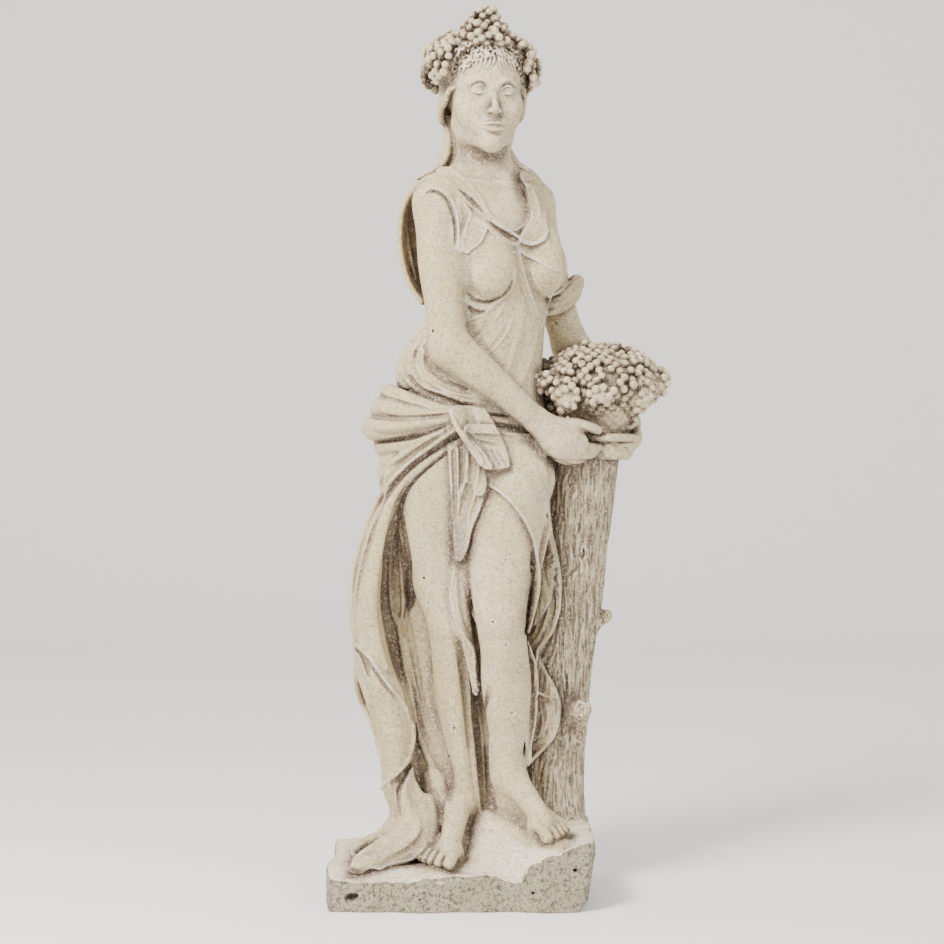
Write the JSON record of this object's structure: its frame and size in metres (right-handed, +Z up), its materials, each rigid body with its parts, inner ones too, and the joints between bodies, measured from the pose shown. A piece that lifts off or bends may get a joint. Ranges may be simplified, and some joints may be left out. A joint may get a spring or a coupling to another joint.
{
  "type": "goddess statue",
  "caption": "Cast-stone statue of a standing draped woman with a wreath of grapes, holding a basket of grapes on a tree trunk, on a low base cast with it.",
  "frame": {"origin": "centre of the base's flat underside, on the ground", "axes": "+Z up; the figure faces -Y; +X is to the viewer's right, the side of the trunk and basket"},
  "size_m": [0.6329, 0.3434, 1.6005],
  "materials": {
    "cast_stone": "pale warm cast stone, weathered, with dark dust in the folds and worn light edges; coarser and ochre on the base's sides"
  },
  "bodies": {
    "root": {"goddess_statue": "cast_stone"}
  },
  "joints": []
}
